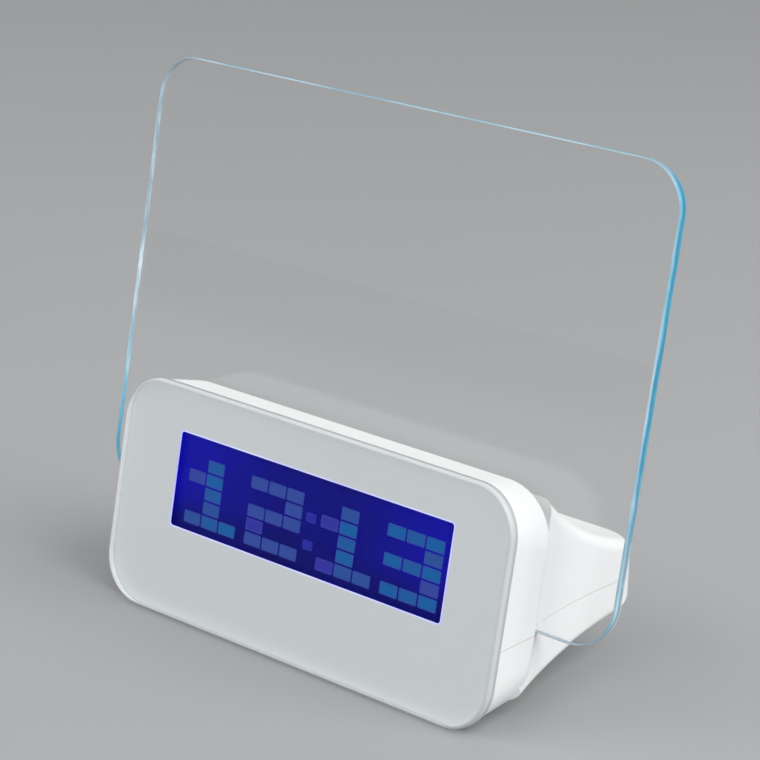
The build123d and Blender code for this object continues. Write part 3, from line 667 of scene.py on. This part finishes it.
def grown_mesh(name, tree, given, points, attributes):
    """Runs a node tree with its given inputs on points and keeps the result as a plain mesh piece."""
    mesh = bpy.data.meshes.new(name)
    mesh.from_pydata([tuple(point) for point in points], [], [])
    for key, values in attributes.items():
        layer = mesh.attributes.new(key, "FLOAT", "POINT")
        layer.data.foreach_set("value", values)
    seed = link_piece(name + "_points", mesh)
    modifier = seed.modifiers.new("grow", "NODES")
    modifier.node_group = tree
    for socket in tree.interface.items_tree:
        if socket.name in given:
            modifier[socket.identifier] = given[socket.name]
    graph = bpy.context.evaluated_depsgraph_get()
    result = bpy.data.meshes.new_from_object(seed.evaluated_get(graph))
    seed.modifiers.remove(modifier)
    bpy.data.objects.remove(seed)
    result.name = name
    result.materials.clear()
    result.materials.append(given["Finish"])
    return link_piece(name, result)


# Sizes and colours that a user would change


class ClockBoardSettings(bpy.types.PropertyGroup):
    """Clear writing board."""

    width: bpy.props.FloatProperty(name="Width", description="Board width", default=169.4 * MM, unit="LENGTH")
    height: bpy.props.FloatProperty(
        name="Height", description="Board height", default=118.4 * MM, unit="LENGTH"
    )
    thickness: bpy.props.FloatProperty(
        name="Thickness", description="Sheet thickness", default=3.0 * MM, unit="LENGTH"
    )
    radius: bpy.props.FloatProperty(
        name="Corner", description="Corner radius", default=12.0 * MM, unit="LENGTH"
    )
    chamfer: bpy.props.FloatProperty(
        name="Edge break", description="Broken edge", default=0.25 * MM, unit="LENGTH"
    )
    low: bpy.props.FloatProperty(
        name="Low edge", description="Lower edge up the slope", default=24.78 * MM, unit="LENGTH"
    )
    depth: bpy.props.FloatProperty(
        name="Depth", description="Front of the board behind the face", default=18.0 * MM, unit="LENGTH"
    )
    # The glint line and the edge colours and glows below are painted light: highlight, reflections and glow
    # of the lit acrylic edge
    glint: bpy.props.FloatProperty(
        name="Glint", description="Pale line beside the broken edge", default=0.4 * MM, unit="LENGTH"
    )
    edge_pale: bpy.props.FloatVectorProperty(
        name="Pale edge",
        description="Top and lower edges",
        subtype="COLOR",
        default=linear("8AA3AF"),
        min=0,
        max=1,
    )
    edge_blue: bpy.props.FloatVectorProperty(
        name="Blue edge", description="Side edges", subtype="COLOR", default=linear("55A8C6"), min=0, max=1
    )
    edge_deep: bpy.props.FloatVectorProperty(
        name="Deep edge",
        description="Streaks in the side edges",
        subtype="COLOR",
        default=linear("2784A6"),
        min=0,
        max=1,
    )
    edge_bright: bpy.props.FloatVectorProperty(
        name="Bright edge",
        description="Front of the side edges",
        subtype="COLOR",
        default=linear("8FC3D8"),
        min=0,
        max=1,
    )
    edge_low: bpy.props.FloatVectorProperty(
        name="Low edge tone",
        description="Side edges beside the case",
        subtype="COLOR",
        default=linear("C8D9E0"),
        min=0,
        max=1,
    )
    edge_line: bpy.props.FloatVectorProperty(
        name="Low edge line",
        description="Line in the side edges beside the case",
        subtype="COLOR",
        default=linear("7F9EAF"),
        min=0,
        max=1,
    )
    edge_foot: bpy.props.FloatVectorProperty(
        name="Foot edge",
        description="Top and lower edges seen through the board",
        subtype="COLOR",
        default=linear("AEBCC3"),
        min=0,
        max=1,
    )
    edge_inner: bpy.props.FloatVectorProperty(
        name="Inner edge",
        description="Side edges seen through the board",
        subtype="COLOR",
        default=linear("B8CCD7"),
        min=0,
        max=1,
    )
    # Painted glow of the edge, more where it is seen from inside through the board
    edge_glow: bpy.props.FloatProperty(name="Glow", description="Light from the edge", default=0.16, min=0)
    inner_glow: bpy.props.FloatProperty(
        name="Inner glow",
        description="More light where the edge is seen through the board",
        default=0.1,
        min=0,
    )
    # Strength of the painted light on the walls of the board's slot, low and high
    slot_glow: bpy.props.FloatProperty(
        name="Slot glow", description="Light low on the slot's walls", default=0.3, min=0
    )
    slot_top_glow: bpy.props.FloatProperty(
        name="Slot top glow", description="Light high on the slot's walls", default=0.03, min=0
    )


class ClockPanelSettings(bpy.types.PropertyGroup):
    """Clear plate over the face."""

    width: bpy.props.FloatProperty(name="Width", description="Plate width", default=130.0 * MM, unit="LENGTH")
    height: bpy.props.FloatProperty(
        name="Height", description="Plate height", default=61.5 * MM, unit="LENGTH"
    )
    thickness: bpy.props.FloatProperty(
        name="Thickness", description="Sheet thickness", default=2.5 * MM, unit="LENGTH"
    )
    radius: bpy.props.FloatProperty(
        name="Corner", description="Corner radius", default=12.5 * MM, unit="LENGTH"
    )
    edge_radius: bpy.props.FloatProperty(
        name="Edge", description="Rounded front edge", default=0.8 * MM, unit="LENGTH"
    )


class ClockDisplaySettings(bpy.types.PropertyGroup):
    """Lit display."""

    text: bpy.props.StringProperty(name="Time", description="Four digits shown", default="1213", maxlen=4)
    window_width: bpy.props.FloatProperty(
        name="Width", description="Window width", default=92.6 * MM, unit="LENGTH"
    )
    window_height: bpy.props.FloatProperty(
        name="Height", description="Window height", default=26.0 * MM, unit="LENGTH"
    )
    window_middle: bpy.props.FloatProperty(
        name="Middle", description="Window's middle up the slope", default=36.4 * MM, unit="LENGTH"
    )
    window_radius: bpy.props.FloatProperty(
        name="Corner", description="Window's corner radius", default=1.2 * MM, unit="LENGTH"
    )
    glass_depth: bpy.props.FloatProperty(
        name="Glass depth", description="Front of the display glass", default=3.9 * MM, unit="LENGTH"
    )
    mask_depth: bpy.props.FloatProperty(
        name="Print depth", description="Front of the printed layer", default=2.5 * MM, unit="LENGTH"
    )
    rim: bpy.props.FloatProperty(
        name="Rim", description="Width of the lit print edge", default=0.35 * MM, unit="LENGTH"
    )
    rim_thick: bpy.props.FloatProperty(
        name="Rim depth", description="Thickness of the lit print edge", default=0.1 * MM, unit="LENGTH"
    )
    block_width: bpy.props.FloatProperty(
        name="Block", description="Block width", default=5.75 * MM, unit="LENGTH"
    )
    block_height: bpy.props.FloatProperty(
        name="Block height", description="Block height", default=3.25 * MM, unit="LENGTH"
    )
    block_corner: bpy.props.FloatProperty(
        name="Block corner", description="Corner radius of a block", default=0.3 * MM, unit="LENGTH"
    )
    block_thick: bpy.props.FloatProperty(
        name="Block depth", description="Thickness of a block", default=0.04 * MM, unit="LENGTH"
    )
    block_soft: bpy.props.FloatProperty(
        name="Block rim", description="Paler rim of a lit block", default=0.9 * MM, unit="LENGTH"
    )
    pitch_x: bpy.props.FloatProperty(
        name="Column pitch", description="From block to block across", default=6.2 * MM, unit="LENGTH"
    )
    pitch_y: bpy.props.FloatProperty(
        name="Row pitch", description="From block to block down", default=3.72 * MM, unit="LENGTH"
    )
    digit_lefts: bpy.props.FloatVectorProperty(
        name="Digit lefts",
        description="Left of each digit from the window's middle",
        size=4,
        default=(-42.7 * MM, -21.1 * MM, 3.6 * MM, 25.0 * MM),
        unit="LENGTH",
    )
    digit_top: bpy.props.FloatProperty(
        name="Digit top", description="Top of the digits up the slope", default=43.5 * MM, unit="LENGTH"
    )
    colon_width: bpy.props.FloatProperty(
        name="Colon width", description="Width of the colon's blocks", default=3.3 * MM, unit="LENGTH"
    )
    colon_height: bpy.props.FloatProperty(
        name="Colon height", description="Height of the colon's blocks", default=2.45 * MM, unit="LENGTH"
    )
    colon_x: bpy.props.FloatProperty(
        name="Colon place", description="Colon from the window's middle", default=0.25 * MM, unit="LENGTH"
    )
    colon_ups: bpy.props.FloatVectorProperty(
        name="Colon ups",
        description="Middles of the colon's blocks up the slope",
        size=2,
        default=(30.7 * MM, 37.85 * MM),
        unit="LENGTH",
    )
    cell_bright: bpy.props.FloatVectorProperty(
        name="Cell", description="Backlit blue", subtype="COLOR", default=linear("07079A"), min=0, max=1
    )
    # Also the colour of the painted shade along the window's top and right rim
    cell_dim_and_rim_shade: bpy.props.FloatVectorProperty(
        name="Cell dark",
        description="Blue along the rim and the foot",
        subtype="COLOR",
        default=linear("010250"),
        min=0,
        max=1,
    )
    cell_glow: bpy.props.FloatProperty(name="Glow", description="Backlight", default=1.0, min=0)
    rest_share: bpy.props.FloatProperty(
        name="Resting blocks", description="Share of the backlight in blocks at rest", default=0.93, min=0
    )
    # Strength of the painted glow on the print's edge
    rim_glow: bpy.props.FloatProperty(
        name="Rim glow", description="Light on the print's edge", default=0.5, min=0
    )


class ClockStageSettings(bpy.types.PropertyGroup):
    """Floor and camera."""

    aim: bpy.props.FloatVectorProperty(
        name="Aim", description="Camera target", subtype="XYZ", default=(0.003856, -0.004645, 0.069514)
    )
    azimuth: bpy.props.FloatProperty(
        name="Azimuth", description="Camera right of the front", subtype="ANGLE", default=radians(40.42)
    )
    elevation: bpy.props.FloatProperty(
        name="Elevation", description="Camera above its aim", subtype="ANGLE", default=radians(19.239)
    )
    roll: bpy.props.FloatProperty(
        name="Roll", description="Camera about its own line", subtype="ANGLE", default=radians(1.342)
    )
    distance: bpy.props.FloatProperty(
        name="Distance", description="Camera from its aim", default=0.680339, unit="LENGTH"
    )
    lens: bpy.props.FloatProperty(name="Lens", description="Focal length in mm", default=127.6)
    floor: bpy.props.FloatVectorProperty(
        name="Floor", description="Floor colour", subtype="COLOR", default=linear("A6A7A8"), min=0, max=1
    )


# Operators, one for each piece or group


class CLOCK_OT_clear_board(bpy.types.Operator):
    """Builds the clear board with its polished edge, whose glow, reflections and glints are painted"""

    bl_idname = "clock.clear_board"
    bl_label = "Clear board"

    def execute(self, context):
        sheet = context.scene.clock_board
        size = (sheet.width, sheet.height, sheet.radius, PLATE_CORNER_STEPS)
        full = round_outline(*size)
        broken = round_outline(*size, sheet.chamfer)
        rings = [
            (broken, -sheet.thickness),
            (full, sheet.chamfer - sheet.thickness),
            (full, -sheet.chamfer - sheet.glint),
            (full, -sheet.chamfer),
            (broken, 0),
        ]
        place = FACE @ Matrix.Translation((0, sheet.low + sheet.height / 2, -sheet.depth))
        # The board's edge carries a painted glow, painted reflections and a painted highlight line at its
        # front
        finishes = [clear_board_acrylic(), painted_light_edge(sheet), edge_glint(sheet)]
        board = stacked_plate("clear_board", rings, place, finishes, [1, 1, 2, 2])
        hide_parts("message_board")
        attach(board, "board")
        return {"FINISHED"}


class CLOCK_OT_front(bpy.types.Operator):
    """Finishes the clear front panel and the printed layer behind it"""

    bl_idname = "clock.front"
    bl_label = "Front panel"

    def execute(self, context):
        paint_nodes(["panel_mask"], moulded_plastic("printed_pale_layer", "DBE0E2", 0.6, grain=0.01))
        self.plate(context.scene.clock_panel)
        self.window_rim(context.scene.clock_display)
        return {"FINISHED"}

    def plate(self, panel):
        """Clear plate with a rounded front edge."""
        size = (panel.width, panel.height, panel.radius, PLATE_CORNER_STEPS)
        rings = [(round_outline(*size), -panel.thickness)]
        for step in range(PLATE_EDGE_STEPS + 1):
            angle = step / PLATE_EDGE_STEPS * pi / 2
            inset = panel.edge_radius * (1 - cos(angle))
            rings.append((round_outline(*size, inset), -panel.edge_radius * (1 - sin(angle))))
        # The plate's edge has painted tones and a painted glow
        finishes = [clear_plate_acrylic(), clear_plate_edge()]
        place = FACE @ Matrix.Translation((0, panel.height / 2, 0))
        plate = stacked_plate("front_plate", rings, place, finishes, [1] * len(rings))
        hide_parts("front_panel")
        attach(plate, "housing")

    def window_rim(self, display):
        """Edge of the print round the window, with a painted glow."""
        size = (display.window_width, display.window_height, display.window_radius, WINDOW_CORNER_STEPS)
        inner = round_outline(*size, display.rim)
        outer = round_outline(*size)
        rings = [(outer, 0), (inner, 0), (inner, -display.rim_thick), (outer, -display.rim_thick)]
        place = FACE @ Matrix.Translation((0, display.window_middle, -display.mask_depth))
        rim = closed_ring("window_rim", rings, place, glowing_line(display))
        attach(rim, "housing")


class CLOCK_OT_display(bpy.types.Operator):
    """Lights the display and lays the blocks of its digits on the cell"""

    bl_idname = "clock.display"
    bl_label = "Display"

    def execute(self, context):
        display = context.scene.clock_display
        paint_nodes(["lcd_glass"], display_cell(display, "backlit_liquid_crystal", 1.0))
        lit, resting = self.digit_blocks(display)
        colon = [(display.colon_x, up, COLON_TONE) for up in display.colon_ups]
        lit_finish = lit_block(display)
        rest_finish = display_cell(display, "resting_liquid_crystal", display.rest_share)
        tree = block_rows()
        for name, middles, width, height, finish in (
            ("digit_blocks", lit, display.block_width, display.block_height, lit_finish),
            ("resting_blocks", resting, display.block_width, display.block_height, rest_finish),
            ("colon_blocks", colon, display.colon_width, display.colon_height, lit_finish),
        ):
            given = {
                "Width": width,
                "Height": height,
                "Corner": display.block_corner,
                "Thickness": display.block_thick,
                "Finish": finish,
            }
            points = [FACE @ Vector((x, y, -display.glass_depth)) for x, y, tone in middles]
            attributes = {}
            if finish == lit_finish:
                attributes = dict(zip(("middle_x", "middle_y", "tone"), zip(*middles)))
            blocks = grown_mesh(name, tree, given, points, attributes)
            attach(blocks, "housing")
        return {"FINISHED"}

    def digit_blocks(self, display):
        """Middle and tone of each lit block, and of each block at rest."""
        lit, resting = [], []
        top = display.digit_top - display.block_height / 2
        for place, (digit, left) in enumerate(zip(display.text, display.digit_lefts)):
            for row, marks in enumerate(DIGIT_ROWS[digit]):
                for column, mark in enumerate(marks):
                    x = left + display.block_width / 2 + column * display.pitch_x
                    y = top - row * display.pitch_y
                    tone = SECOND_DIGIT_TONE if place == 1 else TURN_TONES[(row + column) % 2]
                    for weaker, blocks in WEAKER_TONES.items():
                        tone = weaker if (place, row, column) in blocks else tone
                    (lit if mark == LIT_MARK else resting).append((x, y, tone))
        return lit, resting


class CLOCK_OT_case(bpy.types.Operator):
    """Finishes the two shells, the keys, the battery cover and the pads"""

    bl_idname = "clock.case"
    bl_label = "Case"

    def execute(self, context):
        shell = moulded_plastic("moulded_white_abs", "F3F4F4", 0.46)
        # The shell carries a painted glow on the walls of the board's slot
        painted_slot_glow(shell, context.scene.clock_board)
        paint_nodes(["upper_housing", "base_housing", "battery_door"], shell)
        paint_nodes([name + "_key" for name in KEYS], moulded_plastic("moulded_key_abs", "ECEEF0", 0.4))
        paint_nodes(["rubber_feet"], soft_rubber("moulded_pad_rubber", "B9BCC0"))
        return {"FINISHED"}


class CLOCK_OT_fittings(bpy.types.Operator):
    """Finishes the socket, the switch, the screws and everything inside"""

    bl_idname = "clock.fittings"
    bl_label = "Fittings"

    def execute(self, context):
        resin = moulded_plastic("moulded_black_resin", "16171A", 0.45, cloud=0.2)
        paint_nodes(["main_chip", "key_switches", "inlet_tongue", "buzzer"], resin)
        paint_nodes([name + "_plunger" for name in KEYS], resin)
        nylon = moulded_plastic("moulded_black_nylon", "1B1C1F", 0.5, grain=0.1, cloud=0.2)
        paint_nodes(["light_switch_knob"], nylon)
        paint_nodes(["power_inlet", "clock_crystal"], plated_metal("tin_plated_steel", "C9CBCD", 0.28))
        paint_nodes(["light_switch_body"], plated_metal("stamped_switch_steel", "B4B6B8", 0.35))
        nickel = plated_metal("nickel_plated_contacts", "CFCBC4", 0.22)
        paint_nodes(["battery_plates", "battery_springs"], nickel)
        paint_nodes(["pcb_screws", "case_screws"], plated_metal("zinc_plated_screws", "B9BABB", 0.3))
        green = lacquered_board("green_lacquered_board", "1B5E38", "2C7A4C")
        paint_nodes(["main_pcb", "key_pcb", "power_pcb"], green)
        paint_nodes(["board_led_strip"], lacquered_board("white_lacquered_board", "DFE1DE", "C9CCC8"))
        paint_nodes(["lcd_backlight"], moulded_plastic("milky_light_guide", "E6ECF6", 0.3))
        paint_nodes(["lcd_holder"], moulded_plastic("moulded_holder_abs", "D8D9D8", 0.5))
        paint_nodes(["zebra_strips"], soft_rubber("striped_contact_rubber", "8F8685"))
        paint_nodes(["capacitors"], moulded_plastic("shrunk_capacitor_sleeve", "232A44", 0.3, cloud=0.15))
        paint_nodes(["battery_cells"], moulded_plastic("shrunk_cell_sleeve", "6E7176", 0.28, cloud=0.1))
        paint_nodes(["ribbon_cable"], moulded_plastic("flat_cable_vinyl", "A6A9AD", 0.5, cloud=0.08))
        paint_nodes(["board_leds"], moulded_plastic("clear_lamp_resin", "D6E6FA", 0.2))
        return {"FINISHED"}


class CLOCK_OT_stage(bpy.types.Operator):
    """Sets the floor, soft lamps, world and camera"""

    bl_idname = "clock.stage"
    bl_label = "Stage"

    def execute(self, context):
        scene = context.scene
        scene.view_settings.view_transform = "Standard"
        self.floor(scene.clock_stage)
        self.world(scene)
        self.lamps(scene)
        self.camera(scene, scene.clock_stage)
        return {"FINISHED"}

    def floor(self, stage):
        """Wide level sheet under the clock."""
        mesh = bpy.data.meshes.new("floor")
        corners = [(-FLOOR_HALF, -FLOOR_HALF), (FLOOR_HALF, -FLOOR_HALF)]
        corners += [(FLOOR_HALF, FLOOR_HALF), (-FLOOR_HALF, FLOOR_HALF)]
        mesh.from_pydata([(x, y, 0) for x, y in corners], [], [(0, 1, 2, 3)])
        mesh.materials.append(plain_floor(stage.floor))
        link_piece("floor", mesh)

    def world(self, scene):
        """Soft light from all round, seen as plain grey."""
        world = bpy.data.worlds.new("soft_room")
        scene.world = world
        world.use_nodes = True
        tree = world.node_tree
        tree.nodes.clear()
        soft = add(tree, "ShaderNodeBackground", Color=rgba("EEEFF0"), Strength=0.6)
        plain = add(tree, "ShaderNodeBackground", Color=rgba("9A9B9D"), Strength=1.0)
        path = add(tree, "ShaderNodeLightPath").outputs
        seen = add(tree, "ShaderNodeMath", SUM, i0=path["Is Camera Ray"], i1=path["Is Glossy Ray"])
        seen = add(tree, "ShaderNodeMath", {"use_clamp": True}, i0=seen, i1=path["Is Transmission Ray"])
        shown = add(tree, "ShaderNodeMixShader", i0=seen, i1=soft, i2=plain)
        add(tree, "ShaderNodeOutputWorld", Surface=shown)

    def lamps(self, scene):
        """Large square lamps turned to the clock."""
        for name, (place, size, power) in LAMPS.items():
            lamp = bpy.data.lights.new(name, "AREA")
            lamp.shape = "SQUARE"
            lamp.size = size
            lamp.energy = power
            stand = bpy.data.objects.new(name, lamp)
            stand.location = place
            stand.rotation_euler = (LAMP_AIM - Vector(place)).to_track_quat("-Z", "Y").to_euler()
            scene.collection.objects.link(stand)

    def camera(self, scene, stage):
        """Camera on a line from its aim, rolled a little."""
        level = cos(stage.elevation)
        back = Vector((sin(stage.azimuth) * level, -cos(stage.azimuth) * level, sin(stage.elevation)))
        right = Vector((cos(stage.azimuth), sin(stage.azimuth), 0))
        up = back.cross(right)
        across = right * cos(stage.roll) + up * sin(stage.roll)
        upward = up * cos(stage.roll) - right * sin(stage.roll)
        turn = Matrix((across, upward, back)).transposed().to_4x4()
        data = bpy.data.cameras.new("camera")
        data.lens = stage.lens
        data.sensor_width = SENSOR_WIDTH_MM
        data.sensor_fit = "HORIZONTAL"
        eye = bpy.data.objects.new("camera", data)
        eye.matrix_world = Matrix.Translation(Vector(stage.aim) + back * stage.distance) @ turn
        scene.collection.objects.link(eye)
        scene.camera = eye


class CLOCK_PT_panel(bpy.types.Panel):
    """Lists the pieces of the clock."""

    bl_idname = "CLOCK_PT_panel"
    bl_label = "Message Board Clock"
    bl_space_type = "VIEW_3D"
    bl_region_type = "UI"
    bl_category = "Clock"

    def draw(self, context):
        for operator in OPERATORS:
            self.layout.operator(operator.bl_idname)


OPERATORS = (
    CLOCK_OT_clear_board,
    CLOCK_OT_front,
    CLOCK_OT_display,
    CLOCK_OT_case,
    CLOCK_OT_fittings,
    CLOCK_OT_stage,
)
SETTINGS = {
    "clock_board": ClockBoardSettings,
    "clock_panel": ClockPanelSettings,
    "clock_display": ClockDisplaySettings,
    "clock_stage": ClockStageSettings,
}


def register():
    """Registers settings, operators and the panel."""
    for name, group in SETTINGS.items():
        bpy.utils.register_class(group)
        setattr(bpy.types.Scene, name, bpy.props.PointerProperty(type=group))
    for item in (*OPERATORS, CLOCK_PT_panel):
        bpy.utils.register_class(item)


def unregister():
    """Takes them out again."""
    for item in (CLOCK_PT_panel, *reversed(OPERATORS)):
        bpy.utils.unregister_class(item)
    for name, group in SETTINGS.items():
        delattr(bpy.types.Scene, name)
        bpy.utils.unregister_class(group)


def main():
    """Dresses the clock."""
    register()
    bpy.ops.clock.clear_board()
    bpy.ops.clock.front()
    bpy.ops.clock.display()
    bpy.ops.clock.case()
    bpy.ops.clock.fittings()
    bpy.ops.clock.stage()


if __name__ == "__main__":
    main()
